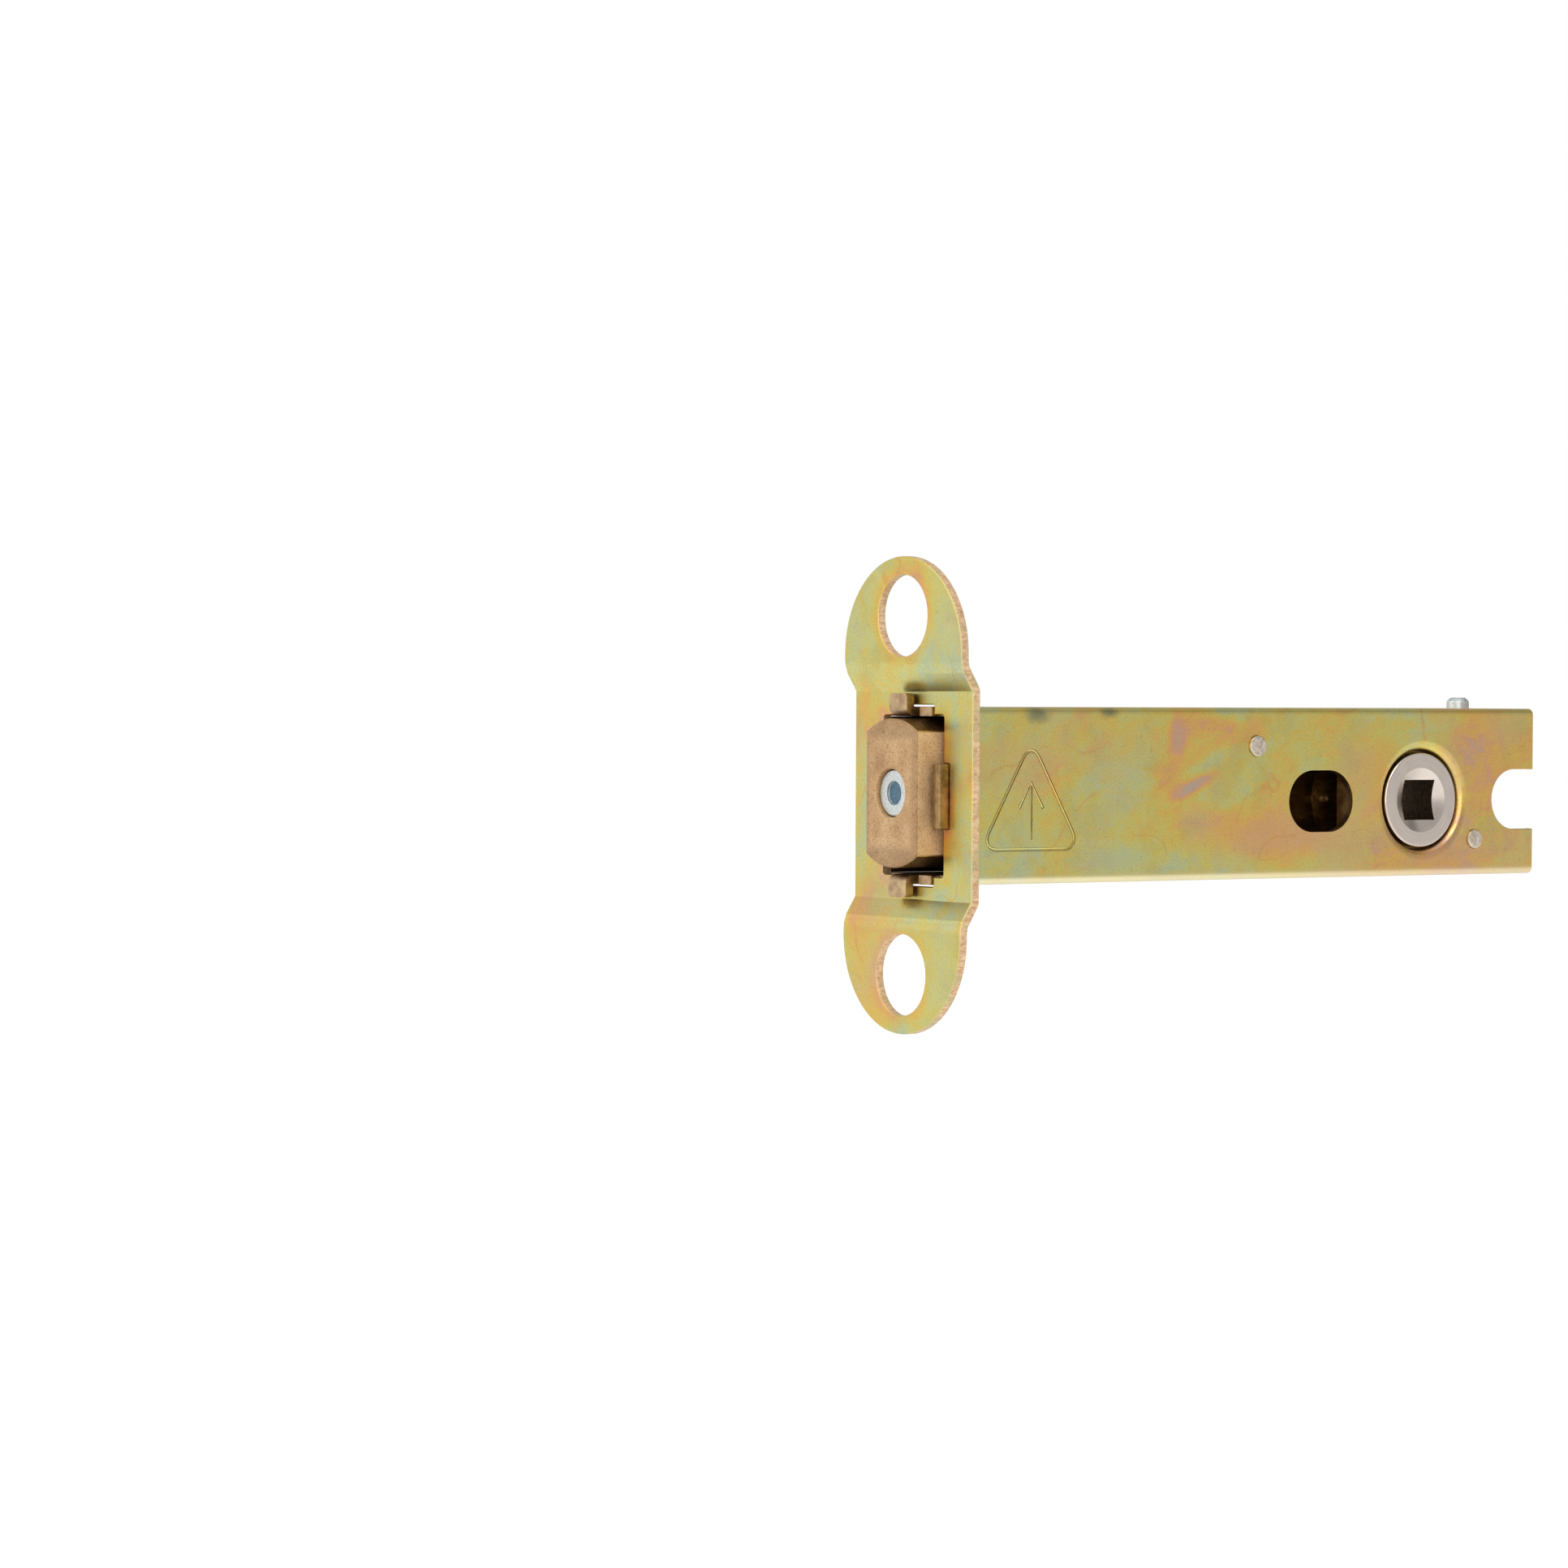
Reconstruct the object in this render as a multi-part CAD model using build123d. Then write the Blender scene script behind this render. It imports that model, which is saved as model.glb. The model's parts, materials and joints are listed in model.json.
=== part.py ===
"""Tubular deadbolt, bolt drawn in.

Millimetres. +X runs back along the case, +Z is up and the bolt throws along -X.
The origin lies midway between the two screw holes, on the back of the forend's ears.
"""

import os
from math import cos, pi, sin, sqrt

from build123d import *

# Forend: a pressed plate whose middle is set back behind its ears
FOREND_LENGTH = 59.5
FOREND_WIDTH = 24.3
FOREND_SHEET = 1.2
FOREND_RECESS = 1.8
RECESS_HEIGHT = 25.9
JOGGLE_RISE = 2.6
SCREW_MARGIN = 7.4
SCREW_HOLE_D = 10.2
BEND_R = 0.3
OPENING_CORNER = 0.5

# Case: folded channel with a flat cover on the far side
CASE_SHEET = 1.2
CASE_INNER_WIDTH = 12.4
CASE_INNER_HEIGHT = 19.7
FOLD_R = 0.9
BACKSET = 79.25
TAIL = 19.8
SPINDLE_DROP = 1.05
THROUGH_OFFSET = 17.8
THROUGH_LENGTH = 10.9
THROUGH_HEIGHT = 8.0
SIDE_TAB_HEIGHT = 8.0
SIDE_TAB_REACH = 1.65
END_TAB_WIDTH = 8.3
LUG_WIDTH = 3.7
LUG_OFFSET = 1.1
LUG_HEIGHT = 1.65
LUG_GAP = 0.4
STUB_WIDTH = 2.5
STUB_REACH = 0.3
COVER_TAB_LENGTH = 8.0
COVER_TAB_PLACES = (0.2, 0.72)

# Collars drawn into both sides round the follower
COLLAR_DRAW = 0.8
COLLAR_WALL = 0.9
LIP_R = 1.2
LIP_FLATS = 3

# Pins and stud, placed from the follower's axis
GUIDE_PIN_AHEAD = 28.82
GUIDE_PIN_Z = 6.14
GUIDE_PIN_D = 2.7
SPRING_PIN_BEHIND = 9.15
SPRING_PIN_Z = -6.28
SPRING_PIN_D = 2.5
PIN_PROUD = 0.4
STUD_BEHIND = 12.92
STUD_D = 3.0
STUD_RISE = 1.45
STUD_SHOULDER = 0.6
STUD_DEPTH = 5.2

# Bolt and its rivet
BOLT_D = 18.6
BOLT_WIDTH = 10.5
BOLT_LENGTH = 28.0
BOLT_PROUD = 3.56
BOLT_LIFT = 0.3
BOLT_THROW = 11.5
BOLT_EDGE = 0.35
RIVET_HEAD_D = 5.7
RIVET_HEAD_DEPTH = 2.4
RIVET_SINK = 0.6
RIVET_SHANK_D = 4.0
RIVET_DIMPLE_D = 3.0
RIVET_DIMPLE_DEPTH = 0.4
RIVET_TAIL_D = 6.4
RIVET_TAIL_LENGTH = 1.2

# Follower
FOLLOWER_D = 12.5
FOLLOWER_SQUARE = 5.3
FACE_SINK = 0.4
DISH_D = 8.5
DISH_DEPTH = 2.2
FLANGE_D = 16.4
NOTCH_WIDTH = 0.8
NOTCH_DEPTH = 2.5
NECK_D = 9.2
CAM_R = 6.0
LOBE_R = 7.4
LOBE_TURN = 45
ARM_WIDTH = 5.8
ARM_REST = 45
TRUNNION_D = 2.4

# Drawbar and leaf spring
DRAWBAR_SHEET = 1.0
DRAWBAR_FOOT = 5.0
DRAWBAR_CORNER = 0.8
LEAF_SHEET = 0.5
LEAF_WIDTH = 4.8
LEAF_SPAN = 11.5
LEAF_CROWN = 4.2
LEAF_RAMP = 2.0
LEAF_TOE = 1.5
EYE_GAP_TURN = -50

# Clearances
RUN_GAP = 0.25
COLLAR_GAP = 0.3
THRUST_GAP = 0.2
PIN_GAP = 0.2
SLIDE_GAP = 0.3
STOP_GAP = 0.3
DRIVE_PLAY = 0.35
TAB_GAP = 0.05
NOTCH_GAP = 0.25
OPENING_GAP = 0.1
HEAD_GAP = 0.175

# How far a cut or a join reaches past the face it meets
PAST = 1.0

# Stations that follow from the sizes above
SCREW_SPACING = FOREND_LENGTH - 2 * SCREW_MARGIN
EAR_FRONT_X = -FOREND_SHEET
SEAT_X = FOREND_RECESS
FACE_X = SEAT_X - FOREND_SHEET
REAR_X = BACKSET + TAIL
HALF_W = CASE_INNER_WIDTH / 2
HALF_H = CASE_INNER_HEIGHT / 2
OUTER_W = HALF_W + CASE_SHEET
OUTER_H = HALF_H + CASE_SHEET
COLLAR_R = FOLLOWER_D / 2 + COLLAR_GAP
COLLAR_END_Y = HALF_W - COLLAR_DRAW
GUIDE_X = BACKSET - GUIDE_PIN_AHEAD
SPRING_X = BACKSET + SPRING_PIN_BEHIND
STUD_X = BACKSET + STUD_BEHIND
BOLT_FRONT_X = FACE_X - BOLT_PROUD
BOLT_REAR_X = BOLT_FRONT_X + BOLT_LENGTH
ARM_R = BOLT_THROW / sqrt(2)
CHEEK_IN_Y = ARM_WIDTH / 2 + RUN_GAP
CHEEK_OUT_Y = CHEEK_IN_Y + DRAWBAR_SHEET
WEB_TOP_Z = HALF_H - SLIDE_GAP
WEB_UNDER_Z = WEB_TOP_Z - DRAWBAR_SHEET


def across(sketch, y_from, y_to):
    """A sketch in X and Z, carried from one Y to another."""
    return Pos(0, y_to, 0) * extrude(Plane.XZ * sketch, y_to - y_from)


def along(sketch, x_from, x_to):
    """A sketch in Y and Z, carried from one X to another."""
    return Pos(x_from, 0, 0) * extrude(Plane.YZ * sketch, x_to - x_from)


def block(x, y, z):
    """A box between the given pairs of X, Y and Z."""
    size = [pair[1] - pair[0] for pair in (x, y, z)]
    middle = [(pair[0] + pair[1]) / 2 for pair in (x, y, z)]
    return Pos(*middle) * Box(*size)


def cross_rod(x, z, diameter, y_from, y_to):
    """A rod along Y."""
    return across(Pos(x, z) * Circle(diameter / 2), y_from, y_to)


def window(x, z):
    """A rectangle between the given pairs of X and Z."""
    return Pos((x[0] + x[1]) / 2, (z[0] + z[1]) / 2) * Rectangle(x[1] - x[0], z[1] - z[0])


def turned(points):
    """A solid turned about the follower's axis from corners given as radius and Y."""
    outline = make_face(Polyline(*points, close=True))
    return Pos(BACKSET, 0, -SPINDLE_DROP) * revolve(outline, Axis.Y)


def sheet_profile(points, thickness):
    """A bent strip's section: one face runs through the points, the other lies to their left."""
    spots = [Vector(*point) for point in points]
    ways = [(b - a).normalized() for a, b in zip(spots, spots[1:])]
    sides = [Vector(-way.Y, way.X) for way in ways]
    other = []
    for i, spot in enumerate(spots):
        before = sides[max(i - 1, 0)]
        after = sides[min(i, len(sides) - 1)]
        other.append(spot + (before + after) * (thickness / (1 + before.dot(after))))
    outline = Polyline(*spots, *reversed(other), close=True)
    return make_face(outline)


def near_corner(face, spot):
    """The corner of a face that lies closest to a spot."""
    return face.vertices().sort_by_distance(Vector(*spot))[0]


def forend_section():
    """The forend cut lengthwise: ears in front, middle set back, both bends rounded."""
    end = FOREND_LENGTH / 2 + FOREND_SHEET
    low = RECESS_HEIGHT / 2
    high = low + JOGGLE_RISE
    front = [(EAR_FRONT_X, end), (EAR_FRONT_X, high), (FACE_X, low)]
    front += [(FACE_X, -low), (EAR_FRONT_X, -high), (EAR_FRONT_X, -end)]
    section = sheet_profile(front, FOREND_SHEET)
    for sign in (1, -1):
        spots = [(EAR_FRONT_X, sign * high), (SEAT_X, sign * low)]
        for spot in spots:
            section = fillet(near_corner(section, spot), BEND_R + FOREND_SHEET)
        spots = [(FACE_X, sign * low), (0, sign * high)]
        for spot in spots:
            section = fillet(near_corner(section, spot), BEND_R)
    return section


def forend_opening():
    """The bolt's opening with its notches for the case's tabs, seen along X."""
    height = 2 * (HALF_H + 2 * OPENING_GAP)
    opening = RectangleRounded(CASE_INNER_WIDTH + 2 * OPENING_GAP, height, OPENING_CORNER)
    opening += Rectangle(END_TAB_WIDTH + 2 * OPENING_GAP, 2 * (OUTER_H + NOTCH_GAP))
    opening += Rectangle(2 * OUTER_W + 2 * OPENING_GAP, SIDE_TAB_HEIGHT + 2 * TAB_GAP)
    return opening


def make_forend():
    """Pressed plate with rounded ends, two screw holes and the bolt's opening."""
    plate = across(forend_section(), -FOREND_WIDTH, FOREND_WIDTH)
    outline = Rot(0, 0, 90) * SlotOverall(FOREND_LENGTH, FOREND_WIDTH)
    plate &= along(outline, EAR_FRONT_X - PAST, SEAT_X + PAST)
    cuts = forend_opening()
    for z in (-SCREW_SPACING / 2, SCREW_SPACING / 2):
        cuts += Pos(0, z) * Circle(SCREW_HOLE_D / 2)
    return plate - along(cuts, EAR_FRONT_X - PAST, SEAT_X + PAST)


def spindle_spot(shape, offset=0.0):
    """A sketch moved to the follower's axis, or ahead of or behind it."""
    return Pos(BACKSET + offset, -SPINDLE_DROP) * shape


def side_holes():
    """What is cut through both sides of the case, seen along Y."""
    through = SlotOverall(THROUGH_LENGTH, THROUGH_HEIGHT)
    cuts = spindle_spot(through, -THROUGH_OFFSET) + spindle_spot(through, THROUGH_OFFSET)
    cuts += Pos(GUIDE_X, GUIDE_PIN_Z) * Circle(GUIDE_PIN_D / 2)
    cuts += Pos(SPRING_X, SPRING_PIN_Z) * Circle(SPRING_PIN_D / 2)
    return cuts


def lip_cutter(sign):
    """What rounds a collar's mouth over, its round drawn as a few flats so that it meshes lightly."""
    turns = [step * pi / (2 * LIP_FLATS) for step in range(LIP_FLATS + 1)]
    middle = (COLLAR_R + LIP_R, OUTER_W - LIP_R)
    bend = [(middle[0] - LIP_R * cos(turn), middle[1] + LIP_R * sin(turn)) for turn in turns]
    mouth = [(middle[0], OUTER_W + PAST), (0, OUTER_W + PAST), (0, middle[1])]
    return turned([(radius, sign * y) for radius, y in bend + mouth])


def finish_side(plate, sign):
    """Gives one side of the case its holes and the collar drawn in round the follower."""
    low, high = sorted((sign * HALF_W, sign * COLLAR_END_Y))
    plate += across(spindle_spot(Circle(COLLAR_R + COLLAR_WALL)), low, high)
    low, high = sorted((sign * (COLLAR_END_Y - PAST), sign * (OUTER_W + PAST)))
    plate -= across(side_holes() + spindle_spot(Circle(COLLAR_R)), low, high)
    return plate - lip_cutter(sign)


def side_tab(sign):
    """The tab at the front of a side, through the forend, with its outer edge rounded over."""
    low, high = sorted((sign * HALF_W, sign * OUTER_W))
    half = SIDE_TAB_HEIGHT / 2
    tab = block((FACE_X - SIDE_TAB_REACH, SEAT_X + PAST), (low, high), (-half, half))
    corner = Vector(FACE_X - SIDE_TAB_REACH, sign * OUTER_W, 0)
    edge = tab.edges().filter_by(Axis.Z).sort_by_distance(corner)[0]
    return fillet(edge, CASE_SHEET / 2)


def clinch_lug():
    """The tab of the top wall that is bent up over the forend's face."""
    back = FACE_X - LUG_GAP
    path = [(back, OUTER_H + LUG_HEIGHT), (back, OUTER_H), (SEAT_X + PAST, OUTER_H)]
    section = sheet_profile(path, -CASE_SHEET)
    section = fillet(near_corner(section, (back - CASE_SHEET, HALF_H)), CASE_SHEET)
    return across(section, LUG_OFFSET - LUG_WIDTH / 2, LUG_OFFSET + LUG_WIDTH / 2)


def end_tabs():
    """The bent lug and the plain stub of the top wall, side by side."""
    stub_y = (-END_TAB_WIDTH / 2, STUB_WIDTH - END_TAB_WIDTH / 2)
    stub = block((FACE_X - STUB_REACH, SEAT_X + PAST), stub_y, (HALF_H, OUTER_H))
    return clinch_lug() + stub


def cover_tab_spans():
    """The X spans of the cover's tabs, which sit in notches of the channel's walls."""
    length = REAR_X - SEAT_X
    middles = [SEAT_X + share * length for share in COVER_TAB_PLACES]
    return [(x - COVER_TAB_LENGTH / 2, x + COVER_TAB_LENGTH / 2) for x in middles]


def make_case_channel():
    """Near side with top and bottom walls, folded tight from one sheet."""
    outer = Rectangle(2 * OUTER_W, 2 * OUTER_H)
    inner = Pos(CASE_SHEET / 2) * Rectangle(2 * OUTER_W - CASE_SHEET, CASE_INNER_HEIGHT)
    section = outer - inner
    for z in (-1, 1):
        section = fillet(near_corner(section, (-OUTER_W, z * OUTER_H)), FOLD_R)
    case = along(section, SEAT_X, REAR_X)
    case += side_tab(-1)
    case += end_tabs() + mirror(end_tabs(), Plane.XY)
    for x_from, x_to in cover_tab_spans():
        span = (x_from - TAB_GAP, x_to + TAB_GAP)
        case -= block(span, (HALF_W, OUTER_W + PAST), (-OUTER_H - PAST, OUTER_H + PAST))
    case -= Pos(STUD_X, 0, OUTER_H) * Cylinder(STUD_D / 2, 3 * CASE_SHEET)
    return finish_side(case, -1)


def make_case_cover():
    """Far side plate, let in between the walls, with tabs staked into them."""
    half = HALF_H - TAB_GAP
    plate = block((SEAT_X, REAR_X), (HALF_W, OUTER_W), (-half, half))
    for span in cover_tab_spans():
        plate += block(span, (HALF_W, OUTER_W), (-OUTER_H, OUTER_H))
    plate += side_tab(1)
    return finish_side(plate, 1)


def make_pin(x, z, diameter):
    """Pin through both sides, its ends standing a little out of them."""
    reach = OUTER_W + PIN_PROUD
    return cross_rod(x, z, diameter, -reach, reach)


def make_stop_stud():
    """Stud in the top wall, shouldered inside, which stops the drawbar."""
    neck = Pos(STUD_X, 0, (HALF_H + OUTER_H + STUD_RISE) / 2)
    stud = neck * Cylinder(STUD_D / 2, CASE_SHEET + STUD_RISE)
    tip = stud.edges().filter_by(GeomType.CIRCLE).sort_by(Axis.Z)[-1]
    stud = chamfer(tip, STUD_D / 6)
    inside = Pos(STUD_X, 0, HALF_H - STUD_DEPTH / 2)
    return stud + inside * Cylinder(STUD_D / 2 + STUD_SHOULDER, STUD_DEPTH)


def make_bolt_head():
    """Round bar with two flats, bored from end to end for its rivet."""
    section = Circle(BOLT_D / 2) & Rectangle(BOLT_WIDTH, BOLT_D)
    bolt = along(Pos(0, BOLT_LIFT) * section, BOLT_FRONT_X, BOLT_REAR_X)
    bolt = chamfer(bolt.faces().sort_by(Axis.X)[0].edges(), BOLT_EDGE)
    sunk = RIVET_SINK + RIVET_HEAD_DEPTH
    head = Pos(0, BOLT_LIFT) * Circle(RIVET_HEAD_D / 2 + HEAD_GAP)
    bolt -= along(head, BOLT_FRONT_X - PAST, BOLT_FRONT_X + sunk)
    shank = Pos(0, BOLT_LIFT) * Circle(RIVET_SHANK_D / 2)
    return bolt - along(shank, BOLT_FRONT_X, BOLT_REAR_X + PAST)


def make_bolt_rivet():
    """Dimpled head in the bolt's face, shank through the bolt, tail closed on the drawbar."""
    head_x = BOLT_FRONT_X + RIVET_SINK
    tail_x = BOLT_REAR_X + DRAWBAR_SHEET
    round_at = Pos(0, BOLT_LIFT)
    rivet = along(round_at * Circle(RIVET_HEAD_D / 2), head_x, head_x + RIVET_HEAD_DEPTH)
    rivet += along(round_at * Circle(RIVET_SHANK_D / 2), head_x, tail_x)
    rivet += along(round_at * Circle(RIVET_TAIL_D / 2), tail_x, tail_x + RIVET_TAIL_LENGTH)
    dimple = round_at * Circle(RIVET_DIMPLE_D / 2)
    return rivet - along(dimple, head_x - PAST, head_x + RIVET_DIMPLE_DEPTH)


def cam_section():
    """Cam and arm seen along Y: a flat at every quarter turn, arm up and back at rest."""
    lobes = Rot(0, 0, LOBE_TURN) * Rectangle(2 * LOBE_R, 2 * LOBE_R)
    cam = Rectangle(2 * CAM_R, 2 * CAM_R) & lobes
    arm = Pos(ARM_R / 2) * SlotOverall(ARM_R + TRUNNION_D, TRUNNION_D)
    return cam + Rot(0, 0, ARM_REST) * arm


def make_follower():
    """Casting with journals, thrust flanges, detent cam, and an arm with two trunnions."""
    face_y = OUTER_W - FACE_SINK
    flange_in = CHEEK_OUT_Y + RUN_GAP
    flange_out = COLLAR_END_Y - THRUST_GAP
    body = across(spindle_spot(cam_section()), -ARM_WIDTH / 2, ARM_WIDTH / 2)
    body += across(spindle_spot(Circle(NECK_D / 2)), -flange_in, flange_in)
    reach = CHEEK_OUT_Y - RUN_GAP
    trunnion = spindle_spot(Rot(0, 0, ARM_REST) * Pos(ARM_R) * Circle(TRUNNION_D / 2))
    body += across(trunnion, -reach, reach)
    notch = Pos(NOTCH_DEPTH / 2 - FLANGE_D / 2) * Rectangle(NOTCH_DEPTH, NOTCH_WIDTH)
    flange = across(spindle_spot(Circle(FLANGE_D / 2) - notch), flange_in, flange_out)
    end = flange + across(spindle_spot(Circle(FOLLOWER_D / 2)), flange_in, face_y)
    end -= turned([(0, face_y - DISH_DEPTH), (DISH_D / 2, face_y), (0, face_y + PAST)])
    body += end + mirror(end, Plane.XZ)
    square = spindle_spot(Rectangle(FOLLOWER_SQUARE, FOLLOWER_SQUARE))
    return body - across(square, -OUTER_W, OUTER_W)


def drawbar_slots():
    """Guide slot, drive slot and the step under the tail, cut through both cheeks along Y."""
    height = GUIDE_PIN_D + 2 * PIN_GAP
    travel = BOLT_THROW + 2 * STOP_GAP
    guide = Pos(GUIDE_X + BOLT_THROW / 2, GUIDE_PIN_Z) * SlotCenterToCenter(travel, height)
    drive_top = max(WEB_UNDER_Z, ARM_R + TRUNNION_D / 2 + RUN_GAP - SPINDLE_DROP)
    drive_x = BACKSET + BOLT_THROW / 2
    drive_half = TRUNNION_D / 2 + DRIVE_PLAY
    drive = window((drive_x - drive_half, drive_x + drive_half), (0, drive_top))
    neck_r = NECK_D / 2 + RUN_GAP
    return guide + drive + window((BACKSET - neck_r, REAR_X), (0, neck_r - SPINDLE_DROP))


def make_drawbar():
    """Strip folded to a channel, with a foot bent down behind the bolt for its rivet."""
    rear_x = STUD_X - STUD_D / 2 - STUD_SHOULDER - STOP_GAP
    skirt_z = THROUGH_HEIGHT / 2 + RUN_GAP - SPINDLE_DROP
    cheek_x = BOLT_REAR_X + 2 * DRAWBAR_SHEET
    bar = block((BOLT_REAR_X, rear_x), (-CHEEK_OUT_Y, CHEEK_OUT_Y), (skirt_z, WEB_TOP_Z))
    bar = fillet(bar.edges().filter_by(Axis.X).sort_by(Axis.Z)[-2:], DRAWBAR_CORNER)
    bar -= block((BOLT_REAR_X, rear_x + PAST), (-CHEEK_IN_Y, CHEEK_IN_Y), (0, WEB_UNDER_Z))
    bar -= block((BOLT_REAR_X, cheek_x), (-OUTER_W, OUTER_W), (0, WEB_UNDER_Z))
    bar -= across(drawbar_slots(), -OUTER_W, OUTER_W)
    foot_z = BOLT_LIFT - DRAWBAR_FOOT
    foot_x = BOLT_REAR_X + DRAWBAR_SHEET
    bar += block((BOLT_REAR_X, foot_x), (-CHEEK_IN_Y, CHEEK_IN_Y), (foot_z, WEB_TOP_Z))
    shank = Pos(0, BOLT_LIFT) * Circle(RIVET_SHANK_D / 2)
    return bar - along(shank, BOLT_REAR_X - PAST, cheek_x)


def make_detent_spring():
    """Bowed leaf: rolled eye on the rear pin, crown under the cam's flat, toe on the floor."""
    eye_r = SPRING_PIN_D / 2 + PIN_GAP / 2
    low = SPRING_PIN_Z - eye_r - LEAF_SHEET
    crown = -SPINDLE_DROP - CAM_R - TAB_GAP - LEAF_SHEET
    floor = TAB_GAP - HALF_H
    path = [(SPRING_X, low), (BACKSET + LEAF_CROWN + LEAF_RAMP, low), (BACKSET + LEAF_CROWN, crown)]
    path += [(BACKSET - LEAF_CROWN, crown), (BACKSET - LEAF_SPAN + LEAF_TOE, floor)]
    path += [(BACKSET - LEAF_SPAN, floor)]
    leaf = sheet_profile(path, -LEAF_SHEET)
    eye = Circle(eye_r + LEAF_SHEET) - Circle(eye_r)
    gap = Pos(0, -eye_r - LEAF_SHEET / 2) * Rectangle(3 * LEAF_SHEET, 2 * LEAF_SHEET)
    eye -= Rot(0, 0, EYE_GAP_TURN) * gap
    leaf += Pos(SPRING_X, SPRING_PIN_Z) * eye
    return across(leaf, -LEAF_WIDTH / 2, LEAF_WIDTH / 2)


def make_all():
    """Every piece by its node name."""
    return {
        "forend": make_forend(),
        "case_channel": make_case_channel(),
        "case_cover": make_case_cover(),
        "guide_pin": make_pin(GUIDE_X, GUIDE_PIN_Z, GUIDE_PIN_D),
        "spring_pin": make_pin(SPRING_X, SPRING_PIN_Z, SPRING_PIN_D),
        "stop_stud": make_stop_stud(),
        "detent_spring": make_detent_spring(),
        "bolt_head": make_bolt_head(),
        "bolt_rivet": make_bolt_rivet(),
        "drawbar": make_drawbar(),
        "follower": make_follower(),
    }


os.makedirs("parts", exist_ok=True)
for name, solid in make_all().items():
    export_step(solid, f"parts/{name}.step")
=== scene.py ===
# %% [markdown]
# # Dressing a tubular deadbolt
# A tubular deadbolt slides into a hole bored in the edge of a door. A pressed plate, the forend, closes
# the hole, a folded steel case runs back from it, and a flatted brass bolt slides in the case. The solids
# come from a CAD model. This lesson gives them the small rounds, the marks and the finishes that tools,
# plating and handling leave on the real thing.

# %% Load the solids
import json
from math import radians, sqrt

import bpy
from mathutils import Matrix, Vector

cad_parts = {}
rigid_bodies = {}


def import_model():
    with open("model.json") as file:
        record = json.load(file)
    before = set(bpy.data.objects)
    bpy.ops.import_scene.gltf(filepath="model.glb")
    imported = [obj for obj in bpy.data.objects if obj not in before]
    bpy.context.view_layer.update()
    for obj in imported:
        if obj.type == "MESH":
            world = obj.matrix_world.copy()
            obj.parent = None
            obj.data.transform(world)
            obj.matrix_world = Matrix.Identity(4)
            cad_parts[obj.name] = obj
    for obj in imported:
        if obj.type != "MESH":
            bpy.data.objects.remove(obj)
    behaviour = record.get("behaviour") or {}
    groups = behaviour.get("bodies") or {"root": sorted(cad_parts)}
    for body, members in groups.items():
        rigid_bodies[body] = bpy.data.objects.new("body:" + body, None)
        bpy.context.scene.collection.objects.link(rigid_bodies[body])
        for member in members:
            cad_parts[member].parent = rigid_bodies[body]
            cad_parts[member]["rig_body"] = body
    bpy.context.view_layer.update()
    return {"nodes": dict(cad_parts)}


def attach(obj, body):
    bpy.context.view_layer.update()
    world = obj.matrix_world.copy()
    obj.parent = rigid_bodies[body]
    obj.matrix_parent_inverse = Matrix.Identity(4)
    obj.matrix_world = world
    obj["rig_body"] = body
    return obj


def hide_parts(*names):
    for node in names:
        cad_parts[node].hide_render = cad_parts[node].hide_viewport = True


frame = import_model()

# %% [markdown]
# ## The camera
# A product picture of a small lock is taken from far off with a long lens, so that the case hardly tapers.
# The camera is placed by its three axes rather than by angles, because a slight roll is then no trouble:
# the columns of its matrix are its right, its up and its back.

# %% Camera
MM = 0.001
camera = bpy.data.objects.new("studio_camera", bpy.data.cameras.new("studio_camera"))
bpy.context.scene.collection.objects.link(camera)
camera.data.sensor_width = 36.0
camera.data.lens = 119.67
camera.data.clip_start = 0.01
CAMERA_SPOT = Vector((-388.605, -519.814, 13.249))
look_right = Vector((0.81511, -0.57928, 0.00562)).normalized()
look_up = Vector((0.00606, 0.01823, 0.99982))
look_back = look_right.cross(look_up).normalized()
look_up = look_back.cross(look_right)
turned = Matrix((look_right, look_up, look_back)).transposed().to_4x4()
camera.matrix_world = Matrix.Translation(CAMERA_SPOT * MM) @ turned
bpy.context.scene.camera = camera
bpy.context.scene.view_settings.view_transform = "Standard"
print("camera stands", round(camera.location.length, 3), "m from the forend")

# %% [markdown]
# ## Picking and welding
# Operators work on whatever is selected, so every step starts by letting go of everything. A CAD mesh is
# loose triangles. A copy of it is welded and its flat faces are joined, and then edges and faces are whole
# again and can be bevelled like a hand-made mesh. A face with a hole in it would bevel badly, so a plane is
# first cut through the middle of every hole, and its cuts are marked as seams, which the joining keeps.
# The copy stands for its node and rides on the same body.

# %% Helpers for picking
def take(piece):
    """Selects one piece alone, in object mode."""
    if bpy.context.object and bpy.context.object.mode != "OBJECT":
        bpy.ops.object.mode_set(mode="OBJECT")
    bpy.ops.object.select_all(action="DESELECT")
    bpy.context.view_layer.objects.active = piece
    piece.select_set(True)


def open_mesh(piece, kind):
    """Goes into edit mode with nothing selected."""
    take(piece)
    bpy.ops.object.mode_set(mode="EDIT")
    bpy.ops.mesh.select_mode(type=kind)
    bpy.ops.mesh.select_all(action="DESELECT")


def pick_faces(piece, wanted):
    """Selects the faces whose centre and normal pass a test, and stays in edit mode."""
    open_mesh(piece, "FACE")
    bpy.ops.object.mode_set(mode="OBJECT")
    for face in piece.data.polygons:
        face.select = wanted(face.center / MM, face.normal)
    bpy.ops.object.mode_set(mode="EDIT")


def pick_edges(piece, wanted):
    """Selects the edges whose two ends, in millimetres, pass a test, and stays in edit mode."""
    open_mesh(piece, "EDGE")
    bpy.ops.object.mode_set(mode="OBJECT")
    spots = [vertex.co / MM for vertex in piece.data.vertices]
    for edge in piece.data.edges:
        edge.select = wanted(*(spots[i] for i in edge.vertices))
    bpy.ops.object.mode_set(mode="EDIT")


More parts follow.
